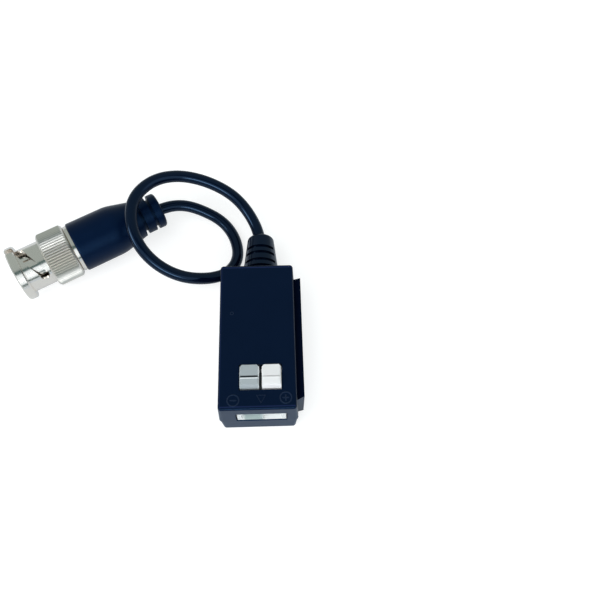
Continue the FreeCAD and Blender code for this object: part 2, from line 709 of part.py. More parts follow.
def edge_bevel(x, side, start, end):
    """A wedge that takes the sharp edge off one long side of a lever's top."""
    y0, z0 = start
    y1, z1 = end
    edge_x = x + side * LEVER_HALF_W
    section = closed_face([
        V(edge_x - side * (LEVER_BEVEL + BITE), y0, z0 + BITE),
        V(edge_x + side * BITE, y0, z0 - LEVER_BEVEL - BITE),
        V(edge_x + side * BITE, y0, z0 + BITE),
    ])
    return section.extrude(V(0, y1 - y0, z1 - z0))


def corner_bevel(x, side):
    """A wedge that takes the upright corner off the back of a lever's plate."""
    edge_x = x + side * LEVER_HALF_W
    corners = (
        (edge_x - side * (LEVER_CORNER + BITE), LEVER_BACK_Y + BITE),
        (edge_x + side * BITE, LEVER_BACK_Y + BITE),
        (edge_x + side * BITE, LEVER_BACK_Y - LEVER_CORNER - BITE),
    )
    return prism_z(corners, PIVOT_Z + 2 * PIVOT_R, LEVER_TOP_Z + OVER)


def make_lever(x):
    """A press lever: thumb plate, pivot stubs and the nose that opens the clamp spring."""
    body = closed_face(lever_outline()).extrude(V(2 * LEVER_HALF_W, 0, 0))
    body.translate(V(x - LEVER_HALF_W, 0, 0))
    fall = (LEVER_SLOPE_Z - LEVER_BACK_Z) / (LEVER_BACK_Y - LEVER_SLOPE_Y)
    for side in (-1, 1):
        front = (PIVOT_Y - LEVER_FACE_R - OVER, LEVER_TOP_Z)
        body = body.cut(edge_bevel(x, side, front, (LEVER_STEP_Y, LEVER_TOP_Z)))
        start = (LEVER_STEP_Y, LEVER_SLOPE_Z + fall * LEVER_GROOVE_W)
        end = (LEVER_BACK_Y + OVER, LEVER_BACK_Z - fall * OVER)
        body = body.cut(edge_bevel(x, side, start, end))
        body = body.cut(corner_bevel(x, side))
    nose = (
        (PUSH_Y - 1.4 * PUSH_R, LEVER_UNDER_Z + BITE),
        (PUSH_Y - PUSH_R, PUSH_Z),
        (PUSH_Y + PUSH_R, PUSH_Z),
        (PUSH_Y + 1.9 * PUSH_R, LEVER_UNDER_Z + BITE),
    )
    nose = prism_x(nose, x - NOSE_HALF_W, x + NOSE_HALF_W)
    tip = Part.makeCylinder(PUSH_R, 2 * NOSE_HALF_W, V(x - NOSE_HALF_W, PUSH_Y, PUSH_Z), V(1, 0, 0))
    side = 1 if x > 0 else -1
    outer = side * (LEVER_HALF_W + PIVOT_OUTER_L)
    inner = -side * (LEVER_HALF_W + PIVOT_INNER_L)
    x0 = x + min(outer, inner)
    x1 = x + max(outer, inner)
    pivot = Part.makeCylinder(PIVOT_R, x1 - x0, V(x0, PIVOT_Y, PIVOT_Z), V(1, 0, 0))
    return body.fuse(nose).fuse(tip).fuse(pivot).removeSplitter()


def make_contact(x):
    """Bent strip: plate under the wire, riser at the back and the solder pin through the board."""
    outline = (
        (CONTACT_Y0, PLATE_Z),
        (CONTACT_Y0, PLATE_Z + PLATE_T),
        (RISER_Y1, PLATE_Z + PLATE_T),
        (RISER_Y1, PIN_SHOULDER_Z),
        (RISER_Y0, PIN_SHOULDER_Z),
        (RISER_Y0, PLATE_Z),
    )
    strip = prism_x(outline, x - CONTACT_HALF_W, x + CONTACT_HALF_W)
    pin = box(x - PIN_HALF_W, x + PIN_HALF_W, RISER_Y0, RISER_Y1, PIN_TIP_Z, PIN_SHOULDER_Z + BITE)
    return strip.fuse(pin).removeSplitter()


def make_clamp_spring(x):
    """Hairpin leaf spring: its free edge pinches the wire onto the contact plate."""
    along = V(0, math.cos(CLAMP_RISE), math.sin(CLAMP_RISE))
    up = V(0, -math.sin(CLAMP_RISE), math.cos(CLAMP_RISE))
    half = CLAMP_T / 2
    tip = V(0, CLAMP_TIP_Y, CLAMP_TIP_Z)
    centre_y = CLAMP_LEG_Y - CLAMP_BEND_R
    reach = (centre_y + CLAMP_BEND_R * up.y - CLAMP_TIP_Y) / along.y
    bend_start = tip + along * reach
    centre = bend_start - up * CLAMP_BEND_R
    middle = (up + V(0, 1, 0)).normalize()
    outer_r = CLAMP_BEND_R + half
    inner_r = CLAMP_BEND_R - half
    foot_z = PLATE_Z + PLATE_T
    outline = [
        tip + up * half,
        centre + up * outer_r,
        (centre + middle * outer_r, centre + V(0, outer_r, 0)),
        V(0, CLAMP_LEG_Y + half, foot_z),
        V(0, CLAMP_LEG_Y - half, foot_z),
        centre + V(0, inner_r, 0),
        (centre + middle * inner_r, centre + up * inner_r),
        tip - up * half,
    ]
    strip = closed_face(outline).extrude(V(2 * CLAMP_HALF_W, 0, 0))
    strip.translate(V(x - CLAMP_HALF_W, 0, 0))
    return strip


def make_board():
    board = box(-BOARD_HALF_W, BOARD_HALF_W, BOARD_Y0, BOARD_Y1, BOARD_Z0, BOARD_TOP)
    half = PIN_HALF_W + 0.1
    for x in (-POLE_X, POLE_X):
        hole = box(x - half, x + half, RISER_Y0 - 0.1, RISER_Y1 + 0.1, 0, BOARD_TOP + OVER)
        board = board.cut(hole)
    return board


def make_core():
    bottom = BOARD_TOP + WIRE_T + WIND_GAP
    ring = turned((
        (CORE_R_IN, bottom),
        (CORE_R_OUT, bottom),
        (CORE_R_OUT, bottom + CORE_H),
        (CORE_R_IN, bottom + CORE_H),
    ))
    ring.translate(V(0, CORE_Y, 0))
    return ring


def make_winding(first_deg):
    """Eight turns of wire round half of the ring core, joined along its outside."""
    r0 = CORE_R_IN - WIND_GAP
    r1 = CORE_R_OUT + WIND_GAP
    z0 = BOARD_TOP + WIRE_T
    z1 = z0 + CORE_H + 2 * WIND_GAP
    half = WIRE_T / 2
    winding = None
    for i in range(TURNS):
        loop = box(r0 - WIRE_T, r1 + WIRE_T, -half, half, z0 - WIRE_T, z1 + WIRE_T)
        loop = loop.cut(box(r0, r1, -WIRE_T, WIRE_T, z0, z1))
        loop.rotate(V(0, 0, 0), V(0, 0, 1), first_deg + i * TURN_STEP)
        winding = loop if winding is None else winding.fuse(loop)
    sweep = (TURNS - 1) * TURN_STEP
    margin = WIRE_T / 15
    tie = turned((
        (r1 + margin, z0 - WIRE_T),
        (r1 + WIRE_T - margin, z0 - WIRE_T),
        (r1 + WIRE_T - margin, z0 - WIRE_T + TIE_H),
        (r1 + margin, z0 - WIRE_T + TIE_H),
    ))
    a0 = math.radians(first_deg)
    a1 = math.radians(first_deg + sweep / 2)
    a2 = math.radians(first_deg + sweep)
    wide = 2.4 * CORE_R_OUT
    peak = 1.6 * wide
    wedge = prism_z((
        (0, 0),
        (wide * math.cos(a0), wide * math.sin(a0)),
        (peak * math.cos(a1), peak * math.sin(a1)),
        (wide * math.cos(a2), wide * math.sin(a2)),
    ), 0, HEIGHT)
    winding = winding.fuse(tie.common(wedge)).removeSplitter()
    winding.translate(V(0, CORE_Y, 0))
    return winding


def make_arrester():
    """Gas discharge arrester: ceramic barrel between two end caps on short legs."""
    z = BOARD_TOP + ARRESTER_CAP_R + 0.1
    inside = ARRESTER_HALF_L - ARRESTER_CAP_L
    barrel = pipe_z(ARRESTER_R, -inside - BITE, inside + BITE)
    barrel = barrel.fuse(pipe_z(ARRESTER_CAP_R, -ARRESTER_HALF_L, -inside))
    barrel = barrel.fuse(pipe_z(ARRESTER_CAP_R, inside, ARRESTER_HALF_L))
    barrel.rotate(V(0, 0, 0), V(0, 1, 0), 90)
    barrel.translate(V(0, ARRESTER_Y, z))
    half = ARRESTER_LEG_W / 2
    for side in (-1, 1):
        ends = sorted((side * (ARRESTER_HALF_L - BITE), side * (ARRESTER_HALF_L + ARRESTER_LEG_W)))
        leg = box(ends[0], ends[1], ARRESTER_Y - half, ARRESTER_Y + half, BOARD_TOP, z + half)
        barrel = barrel.fuse(leg)
    return barrel.removeSplitter()


def make_capacitor():
    """Ceramic disc capacitor standing on its two legs."""
    leg_h = 0.5
    disc = pipe_z(CAPACITOR_R, -CAPACITOR_T / 2, CAPACITOR_T / 2)
    rims = [e for e in disc.Edges if e.Length > 2 * CAPACITOR_R]
    disc = disc.makeFillet(CAPACITOR_EDGE_R, rims)
    disc.rotate(V(0, 0, 0), V(1, 0, 0), 90)
    disc.translate(V(0, CAPACITOR_Y, BOARD_TOP + leg_h + CAPACITOR_R))
    half = PIN_HALF_W / 2
    for x in (-CAPACITOR_LEG_X, CAPACITOR_LEG_X):
        top = BOARD_TOP + leg_h + CAPACITOR_R / 2
        leg = box(x - half, x + half, CAPACITOR_Y - half, CAPACITOR_Y + half, BOARD_TOP, top)
        disc = disc.fuse(leg)
    return disc.removeSplitter()


def bent_tube(points, radius, share, label):
    """A round tube through the points: straight runs joined by tangent arcs."""
    corners = [V(*p) for p in points]
    edges = []
    start = corners[0]
    tightest = None
    for i in range(1, len(corners) - 1):
        back = corners[i - 1] - corners[i]
        ahead = corners[i + 1] - corners[i]
        turn = math.pi - back.getAngle(ahead)
        shorter = min(back.Length, ahead.Length)
        bend_r = share * shorter / math.tan(turn / 2)
        tightest = bend_r if tightest is None else min(tightest, bend_r)
        reach = share * shorter
        into = V(back).normalize()
        out = V(ahead).normalize()
        a = corners[i] + into * reach
        b = corners[i] + out * reach
        to_centre = (into + out).normalize()
        centre = corners[i] + to_centre * math.hypot(reach, bend_r)
        middle = centre - to_centre * bend_r
        edges.append(Part.LineSegment(start, a).toShape())
        edges.append(Part.Arc(a, middle, b).toShape())
        start = b
    edges.append(Part.LineSegment(start, corners[-1]).toShape())
    path = Part.Wire(edges)
    first = (corners[1] - corners[0]).normalize()
    ring = Part.Wire([Part.makeCircle(radius, corners[0], first)])
    tube = path.makePipeShell([ring], True, False)
    length = sum(e.Length for e in edges)
    expected = math.pi * radius ** 2 * length
    print(label, "length", round(length, 2), "tightest bend", round(tightest, 2),
          "volume", round(tube.Volume, 3), "expected", round(expected, 3))
    return tube


def make_coax_core():
    points = (
        (0.0, FLANGE_Y0, GLAND_Z),
        (0.0, CORE_PAD_Y, GLAND_Z),
        (0.0, CORE_PAD_Y, BOARD_TOP),
    )
    return bent_tube(points, CORE_WIRE_R, 0.45, "coax core")


def make_shield_tail():
    z = GLAND_Z - 0.3
    points = (
        (SHIELD_X, FLANGE_Y0, z),
        (SHIELD_X, SHIELD_PAD_Y, z),
        (SHIELD_X, SHIELD_PAD_Y, BOARD_TOP),
    )
    return bent_tube(points, SHIELD_WIRE_R, 0.45, "shield tail")


def gland_radius(y):
    """Radius of the outlet's outside: a fast taper to the waist, then a slow one."""
    tip_start = GLAND_TIP_Y - GLAND_END_EDGE_R
    if y < GLAND_WAIST_Y:
        share = (y - OUTSIDE_Y) / (GLAND_WAIST_Y - OUTSIDE_Y)
        return GLAND_ROOT_R + (GLAND_WAIST_R - GLAND_ROOT_R) * share
    share = (y - GLAND_WAIST_Y) / (tip_start - GLAND_WAIST_Y)
    return GLAND_WAIST_R + (GLAND_END_R - GLAND_WAIST_R) * share


def make_gland():
    """Moulded outlet: a flange held inside the housing, a neck and the ribbed taper outside."""
    tip_start = GLAND_TIP_Y - GLAND_END_EDGE_R
    tip_centre = (GLAND_END_R - GLAND_END_EDGE_R, tip_start)
    body = turned((
        (0, FLANGE_Y0),
        (FLANGE_R, FLANGE_Y0),
        (FLANGE_R, FLANGE_Y1),
        (GLAND_NECK_R, FLANGE_Y1),
        (GLAND_NECK_R, OUTSIDE_Y),
        (GLAND_ROOT_R, OUTSIDE_Y),
        (GLAND_WAIST_R, GLAND_WAIST_Y),
        (GLAND_END_R, tip_start),
        arc_of(tip_centre, GLAND_END_EDGE_R, 0, math.pi / 2),
        (CORD_MOUTH_R, GLAND_TIP_Y),
        (CORD_BORE_R, GLAND_TIP_Y - CORD_MOUTH_L),
        (CORD_BORE_R, CORD_START_Y),
        (0, CORD_START_Y),
    ))
    tangent = math.tan(math.radians(90 - RING_WEB_DEG))
    far = GLAND_ROOT_R + OVER
    for offset in RING_GROOVES:
        y = OUTSIDE_Y + offset
        y0 = y - RING_GROOVE_W / 2
        y1 = y + RING_GROOVE_W / 2
        floor_r = gland_radius(y) - RING_GROOVE_DEPTH
        ring = pipe_z(far, y0, y1).cut(pipe_z(floor_r, y0 - OVER, y1 + OVER))
        for side in (-1, 1):
            wedge = ((0, 0), (side * far * tangent, side * far), (-side * far * tangent, side * far))
            body = body.cut(ring.common(prism_z(wedge, y0 - OVER, y1 + OVER)))
    body = to_gland(body)
    flat_y0 = FLANGE_Y0 - OVER
    flat_y1 = FLANGE_Y1 + BITE
    under_flange = box(-2 * FLANGE_R, 2 * FLANGE_R, flat_y0, flat_y1, -FLANGE_R, FLOOR_T + LIP_GAP)
    return body.cut(under_flange)


def cord_path():
    turn = plug_point(CORD_TURN_S)
    end = plug_point(CORD_END_S)
    return list(CORD_POINTS) + [(turn.x, turn.y, turn.z), (end.x, end.y, end.z)]


def knurled_band():
    """A grip band whose teeth run along the axis, with bevelled ends."""
    corners = []
    for i in range(KNURL_TEETH):
        for k, radius in ((0, RING_R), (0.5, RING_R - KNURL_DEPTH)):
            angle = 2 * math.pi * (i + k) / KNURL_TEETH
            corners.append((radius * math.cos(angle), radius * math.sin(angle)))
    band = prism_z(corners, KNURL_START, KNURL_END)
    low_r = RING_R - KNURL_BEVEL
    bevel = turned((
        (0, KNURL_START - OVER),
        (low_r, KNURL_START - OVER),
        (low_r, KNURL_START),
        (RING_R + BITE, KNURL_START + KNURL_BEVEL + BITE),
        (RING_R + BITE, KNURL_END - KNURL_BEVEL - BITE),
        (low_r, KNURL_END),
        (low_r, KNURL_END + OVER),
        (0, KNURL_END + OVER),
    ))
    return band.common(bevel)


def bayonet_track(entry_deg):
    """One quarter-turn track: notch through the ring, ramp along a helix, wider lock hole."""
    rise = SLOT_LOCK_S - SLOT_ENTRY_S
    mid_r = (SLEEVE_BORE_R + TUBE_R) / 2
    helix = Part.makeHelix(rise * 4, rise, mid_r)
    slope = math.atan2(rise, mid_r * math.pi / 2)
    reach = TUBE_R - SLEEVE_BORE_R + BITE
    half = SLOT_W / 2
    across = V(0, -math.sin(slope), math.cos(slope))
    centre = V(mid_r, 0, 0)
    out = V(reach, 0, 0)
    corners = [
        centre - out - across * half,
        centre + out - across * half,
        centre + out + across * half,
        centre - out + across * half,
    ]
    section = Part.makePolygon(corners + [corners[0]])
    track = Part.Wire(helix).makePipeShell([section], True, True)
    entry = Part.makeCylinder(half, 2 * reach, centre - out, V(1, 0, 0))
    entry = entry.fuse(box(mid_r - reach, RING_R + OVER, -half, half, -SLOT_ENTRY_S - OVER, 0))
    lock = Part.makeCylinder(LOCK_HOLE_R, 2 * reach, centre - out, V(1, 0, 0))
    lock.rotate(V(0, 0, 0), V(0, 0, 1), 90)
    lock.translate(V(0, 0, rise))
    whole = track.fuse(entry).fuse(lock)
    whole.rotate(V(0, 0, 0), V(0, 0, 1), entry_deg)
    whole.translate(V(0, 0, SLOT_ENTRY_S))
    return whole


def make_sleeve():
    """Coupling sleeve: front ring, slotted tube, knurled grip and the lip that carries it."""
    edge = RING_EDGE
    join_s = KNURL_START + BITE
    body = turned((
        (SLEEVE_BORE_R - BITE, edge),
        (SLEEVE_BORE_R + BITE, 0),
        (RING_R - edge, 0),
        (RING_R, edge),
        (RING_R, RING_END - edge),
        (RING_R - edge, RING_END),
        (TUBE_R, RING_END),
        (TUBE_R, join_s),
        (SLEEVE_BORE_R - BITE, join_s),
    ))
    body = body.fuse(knurled_band()).removeSplitter()
    body = body.cut(pipe_z(SLEEVE_BORE_R, -OVER, LIP_START))
    body = body.cut(pipe_z(LIP_BORE_R, LIP_START - OVER, KNURL_END + OVER))
    for entry in (SLOT_ENTRY_DEG + 180, SLOT_ENTRY_DEG):
        body = body.cut(bayonet_track(entry))
    return to_plug(body)


def make_contact_shell():
    """Outer contact: slotted spring fingers, the flange that seats the gasket, and the rear tube."""
    bore = INSULATOR_R + 0.05
    lead = 0.2
    body = turned((
        (SHELL_BORE_R, SHELL_FRONT),
        (SHELL_R - lead, SHELL_FRONT),
        (SHELL_R, SHELL_FRONT + lead),
        (SHELL_R, FLANGE_S0),
        (PLUG_FLANGE_R, FLANGE_S0),
        (PLUG_FLANGE_R, FLANGE_S1),
        (SHELL_TUBE_R, FLANGE_S1),
        (SHELL_TUBE_R, SHELL_END),
        (bore, SHELL_END),
        (bore, FLANGE_S0),
        (SHELL_BORE_R, FLANGE_S0 - 0.3),
    ))
    half = SHELL_SLOT_W / 2
    wide = PLUG_FLANGE_R + OVER
    front = SHELL_FRONT - OVER
    body = body.cut(box(-half, half, -wide, wide, front, SHELL_SLOT_END))
    body = body.cut(box(-wide, wide, -half, half, front, SHELL_SLOT_END))
    return to_plug(body)


def make_insulator():
    edge = 0.3
    body = turned((
        (PIN_R + PRESS_FIT, INSULATOR_FRONT),
        (INSULATOR_R - edge, INSULATOR_FRONT),
        (INSULATOR_R, INSULATOR_FRONT + edge),
        (INSULATOR_R, SHELL_END),
        (PIN_R + PRESS_FIT, SHELL_END),
    ))
    return to_plug(body)


def make_centre_pin():
    body = turned((
        (0, PIN_FRONT),
        (0.4 * PIN_R, PIN_FRONT),
        (PIN_R, PIN_FRONT + 1.2 * PIN_R),
        (PIN_R, PIN_END),
        (0, PIN_END),
    ))
    return to_plug(body)


def make_gasket():
    body = turned((
        (GASKET_R_IN, FLANGE_S0 - GASKET_T),
        (PLUG_FLANGE_R, FLANGE_S0 - GASKET_T),
        (PLUG_FLANGE_R, FLANGE_S0),
        (GASKET_R_IN, FLANGE_S0),
    ))
    return to_plug(body)


def make_coupling_spring():
    """Flat-wire coil that pushes the washer, and with it the sleeve, towards the boot."""
    mid_r = (SHELL_TUBE_R + PLUG_FLANGE_R) / 2
    helix = Part.makeHelix(SPRING_PITCH, SPRING_PITCH * SPRING_TURNS, mid_r)
    half_w = SPRING_WIRE_W / 2
    half_t = SPRING_WIRE_T / 2
    corners = [
        V(mid_r - half_w, 0, -half_t),
        V(mid_r + half_w, 0, -half_t),
        V(mid_r + half_w, 0, half_t),
        V(mid_r - half_w, 0, half_t),
    ]
    section = Part.makePolygon(corners + [corners[0]])
    coil = Part.Wire(helix).makePipeShell([section], True, True)
    coil.translate(V(0, 0, FLANGE_S1 + half_t + SPRING_END_GAP))
    return to_plug(coil)


def make_washer():
    body = turned((
        (WASHER_BORE_R, WASHER_S0),
        (PLUG_FLANGE_R, WASHER_S0),
        (PLUG_FLANGE_R, WASHER_S0 + WASHER_T),
        (WASHER_BORE_R, WASHER_S0 + WASHER_T),
    ))
    return to_plug(body)


def make_rear_flange():
    """Rear flange pressed on the contact shell, with the spigot for the cable's braid."""
    edge = 0.2
    bore = SPIGOT_R - SPIGOT_WALL_T
    seat_r = SHELL_TUBE_R + PRESS_FIT
    seat_s = SHELL_END + PRESS_FIT
    body = turned((
        (seat_r, BACK_FLANGE_S0),
        (BACK_FLANGE_R - edge, BACK_FLANGE_S0),
        (BACK_FLANGE_R, BACK_FLANGE_S0 + edge),
        (BACK_FLANGE_R, BOOT_FRONT),
        (SPIGOT_R, BOOT_FRONT),
        (SPIGOT_R, SPIGOT_END),
        (bore, SPIGOT_END),
        (bore, seat_s),
        (seat_r, seat_s),
    ))
    return to_plug(body)


def make_ferrule():
    body = turned((
        (FERRULE_BORE_R, BOOT_FRONT),
        (FERRULE_R, BOOT_FRONT),
        (FERRULE_R, FERRULE_END),
        (FERRULE_BORE_R, FERRULE_END),
    ))
    return to_plug(body)


def make_boot():
    """Moulded boot: straight barrel, cone, and a ribbed neck that takes the cord."""
    front_edge = BOOT_FRONT_EDGE_R
    front_centre = (BOOT_R - front_edge, BOOT_FRONT + front_edge)
    shoulder_centre = (BOOT_R - BOOT_SHOULDER_R, BOOT_BARREL_END)
    shoulder = arc_of(shoulder_centre, BOOT_SHOULDER_R, 0, BOOT_CONE)
    shoulder_end = shoulder[1]
    cone_r = shoulder_end[0] - (BOOT_CONE_END - shoulder_end[1]) * math.tan(BOOT_CONE)
    end_edge = BOOT_END_EDGE_R
    end_centre = (BOOT_RIB_R - end_edge, BOOT_END - end_edge)
    body = turned((
        (BOOT_CAVITY_R, BOOT_FRONT),
        (BOOT_R - front_edge, BOOT_FRONT),
        arc_of(front_centre, front_edge, -math.pi / 2, 0),
        (BOOT_R, BOOT_BARREL_END),
        shoulder,
        (cone_r, BOOT_CONE_END),
        (BOOT_NECK_R, BOOT_CONE_END),
        (BOOT_NECK_R, BOOT_RIB_S0),
        (BOOT_RIB_R, BOOT_RIB_S0),
        (BOOT_RIB_R, BOOT_RIB_S1),
        (BOOT_NECK_R, BOOT_RIB_S1),
        (BOOT_NECK_R, BOOT_END_RIB_S0),
        (BOOT_RIB_R, BOOT_END_RIB_S0),
        (BOOT_RIB_R, BOOT_END - end_edge),
        arc_of(end_centre, end_edge, 0, math.pi / 2),
        (CORD_MOUTH_R, BOOT_END),
        (CORD_BORE_R, BOOT_END - CORD_MOUTH_L),
        (CORD_BORE_R, CORD_END_S),
        (0, CORD_END_S),
        (0, BOOT_CAVITY_END),
        (BOOT_CAVITY_R, BOOT_CAVITY_END),
    ))
    return to_plug(body)


def main():
    os.makedirs("parts", exist_ok=True)
    nodes = {
        "base_shell": make_base(),
        "cover_shell": make_cover(),
        "terminal_block": make_terminal_block(),
        "lever_minus": make_lever(-POLE_X),
        "lever_plus": make_lever(POLE_X),
        "clamp_spring_minus": make_clamp_spring(-POLE_X),
        "clamp_spring_plus": make_clamp_spring(POLE_X),
        "contact_minus": make_contact(-POLE_X),
        "contact_plus": make_contact(POLE_X),
        "circuit_board": make_board(),
        "transformer_core": make_core(),
        "winding_line": make_winding(20.0),
        "winding_coax": make_winding(200.0),
        "surge_arrester": make_arrester(),
        "ceramic_capacitor": make_capacitor(),
        "coax_core": make_coax_core(),
        "shield_tail": make_shield_tail(),
        "cord_gland": make_gland(),
        "cord": bent_tube(cord_path(), CORD_R, 0.45, "cord"),
        "plug_boot": make_boot(),
        "crimp_ferrule": make_ferrule(),
        "rear_flange": make_rear_flange(),
        "contact_shell": make_contact_shell(),
        "insulator": make_insulator(),
        "centre_pin": make_centre_pin(),
        "gasket": make_gasket(),
        "coupling_spring": make_coupling_spring(),
        "thrust_washer": make_washer(),
        "coupling_sleeve": make_sleeve(),
    }
    for name, shape in nodes.items():
        if not shape.isValid() or len(shape.Solids) != 1:
            print("LOOK AT", name, "valid", shape.isValid(), "solids", len(shape.Solids))
        solid = shape.Solids[0] if len(shape.Solids) == 1 else shape
        solid.exportStep(os.path.join("parts", name + ".step"))
        b = solid.BoundBox
        print(name, "volume", round(solid.Volume, 2), "x", round(b.XMin, 2), round(b.XMax, 2),
              "y", round(b.YMin, 2), round(b.YMax, 2), "z", round(b.ZMin, 3), round(b.ZMax, 2))


main()
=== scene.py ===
"""Looks of the video balun: housing with two lever terminals, coaxial lead and bayonet plug."""

import json
import math

import bpy
from mathutils import Matrix, Vector

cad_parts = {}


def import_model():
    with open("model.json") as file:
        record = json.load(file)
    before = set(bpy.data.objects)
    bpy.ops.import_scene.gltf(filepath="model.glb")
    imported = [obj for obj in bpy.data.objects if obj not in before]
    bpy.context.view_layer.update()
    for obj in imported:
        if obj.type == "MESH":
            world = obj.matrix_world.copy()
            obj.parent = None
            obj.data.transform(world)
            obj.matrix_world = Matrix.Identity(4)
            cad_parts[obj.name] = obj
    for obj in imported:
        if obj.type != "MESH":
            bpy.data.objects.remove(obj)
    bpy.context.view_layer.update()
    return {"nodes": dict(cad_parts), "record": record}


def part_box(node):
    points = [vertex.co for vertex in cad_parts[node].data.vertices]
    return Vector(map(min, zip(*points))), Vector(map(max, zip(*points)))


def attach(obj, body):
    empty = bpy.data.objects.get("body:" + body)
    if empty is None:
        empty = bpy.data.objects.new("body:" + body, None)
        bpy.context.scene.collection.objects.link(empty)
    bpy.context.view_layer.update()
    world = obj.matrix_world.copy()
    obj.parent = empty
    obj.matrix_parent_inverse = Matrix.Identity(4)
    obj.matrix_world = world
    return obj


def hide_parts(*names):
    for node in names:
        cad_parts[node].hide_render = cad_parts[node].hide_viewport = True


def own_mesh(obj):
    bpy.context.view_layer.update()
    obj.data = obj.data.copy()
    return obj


MM = 0.001

# Camera of the photograph, in the row frame
FOCAL_PX = 638.5
PICTURE_PX = 600.0
SENSOR_MM = 36.0
CAMERA_POS = Vector((4.851, -58.727, 154.471)) * MM
CAMERA_PITCH = math.radians(64.12)
CAMERA_ROLL = math.radians(-2.43)
CAMERA_YAW = math.radians(-4.11)
CAMERA_NEAR = 5 * MM

# Plug axis, and the stations along it where the lead ends
PLUG_POS = Vector((-62.85, 21.5, 7.25)) * MM
PLUG_YAW = math.radians(29.0)
CORD_END_S = 36.6 * MM
CORD_TURN_S = 41.55 * MM

# Lead
CORD_R = 1.55 * MM
CORD_START_Y = 27.6
CORD_Z = 6.3
CORD_POINTS = (
    (0.0, CORD_START_Y, CORD_Z),
    (0.0, 32.3, CORD_Z),
    (-3.04, 38.9, 8.2),
    (-7.6, 43.1, 11.2),
    (-14.5, 45.5, 14.0),
    (-21.7, 45.9, 16.0),
    (-27.9, 43.4, 17.3),
    (-32.4, 37.8, 17.6),
    (-32.8, 30.9, 16.6),
    (-30.8, 25.6, 13.8),
    (-26.6, 21.8, 10.4),
    (-20.7, 19.76, 7.4),
    (-14.01, 20.33, 4.9),
    (-8.83, 23.04, 2.8),
    (-6.14, 28.29, 1.6),
    (-7.03, 34.7, 1.6),
    (-10.6, 39.9, 2.6),
    (-16.6, 42.3, 4.9),
    (-21.6, 42.95, 6.5),
)

# Raised marks on the top of the housing
MARK_LINE = 0.28 * MM
MARK_HEIGHT = 0.08 * MM
MARK_ROUND = 0.8 * MARK_HEIGHT
MARK_RING = 2.9 * MM
MARK_SIGN = 1.5 * MM
MARK_ARROW = 2.6 * MM
MINUS_AT = (-6.2 * MM, -16.2 * MM)
PLUS_AT = (5.7 * MM, -15.8 * MM)
ARROW_AT = (0.1 * MM, -15.7 * MM)
DIMPLE_AT = (-6.7 * MM, 5.3 * MM)
DIMPLE_RING = 0.9 * MM
DIMPLE_LINE = 0.6 * MARK_LINE

# Painted highlight: a light line that runs round the top, just inside its edges
EDGE_INSET = 0.75 * MM
EDGE_LINE = 0.10 * MM
EDGE_SKIN = 0.10 * MM
EDGE_HIGHLIGHT = (0.010, 0.016, 0.055)

# Finish of the levers, painted light: shade in the groove across, a highlight on the ridge before it and
# highlights along the sides.
# A pair holds where a shade starts and where it is full, from the lever's side or top.
LEVER_GROOVE_Y = -10.9 * MM
LEVER_GROOVE_HALF = 0.2 * MM
LEVER_GROOVE_ENDS = (0.54 * MM, 0.39 * MM)
LEVER_RIDGE_Y = LEVER_GROOVE_Y - 0.42 * MM
LEVER_RIDGE_HALF = 0.09 * MM
LEVER_RIDGE_HIGHLIGHT = 0.8
LEVER_HIGHLIGHT_SIDE = (0.45 * MM, 0.36 * MM)
LEVER_HIGHLIGHT_TOP = (2.1 * MM, 1.8 * MM)
LEVER_FAR_EDGE = 0.30 * MM
LEVER_NEAR_HIGHLIGHT = 0.3

# Finish of the terminal strip in the end window: painted shade, dark over its top in the gap round the
# levers and grey-green in the minus pole's wire entry
GAP_SHADE_Z = 12.4 * MM
GAP_SHADE_EDGE = 0.1 * MM
GAP_SHADE_COLOUR = (0.004, 0.006, 0.012)
RECESS_X = (-4.1 * MM, 0.3 * MM)
RECESS_Y = -16.2 * MM
RECESS_EDGE = 0.4 * MM
RECESS_SHADE = (0.36, 0.43, 0.42)

# Knurled band of the plug's sleeve, by station along its axis and radius
KNURL_S = (8.1 * MM, 15.3 * MM)
KNURL_R = 7.25 * MM
KNURL_DEPTH = 0.32 * MM
KNURL_BEVEL = 0.55 * MM
KNURL_EDGE = 0.1 * MM
# Painted shade in the knurl's grooves: full below the first radius, none above the second.
KNURL_SHADE_R = (KNURL_R - 0.85 * KNURL_DEPTH, KNURL_R - 0.35 * KNURL_DEPTH)
KNURL_DULL = (0.78, 0.74, 0.68)
KNURL_GROOVE_SHADE = (0.61, 0.57, 0.52)
KNURL_SATIN = 0.13

# Springs: where each stands, and the share of its length it keeps at its joint's limit
COIL_SEAT_S = 9.7 * MM
COIL_KEEP = 0.665
CLAMP_SEAT_Z = 7.4 * MM
CLAMP_KEEP = 0.75
MERGE_GAP = 0.001 * MM

# Fine patterns of the finishes, by how many lie in a metre
BLOTCHES = 160.0
GLOSS_CLOUDS = 420.0
PLATING_CLOUDS = 260.0
SCUFFS = 1500.0
MOULD_GRAIN = 9000.0
GLOSS_SPREAD = 0.06
BUMP_DEPTH = 0.02 * MM
SHARP_EDGE = math.radians(30.0)
SHARP_BEAD = math.radians(40.0)

# White paper under the part: how it looks itself, in gloss, and in gloss before the end window
PAPER_SIZE = 2.4
PAPER_Z = -0.02 * MM
PAPER_BODY = (0.40, 0.40, 0.40)
PAPER_ROUGH = 0.9
PAPER_SEEN = (0.72, 0.72, 0.72)
PAPER_IN_MATT = (0.50, 0.48, 0.45)
PAPER_IN_GLOSS = (0.265, 0.290, 0.315)
PAPER_BEFORE_END = (0.100, 0.180, 0.300)
BEFORE_END_HALF = 30 * MM
BEFORE_END_Y = (-90 * MM, -60 * MM, -18 * MM, -15 * MM)

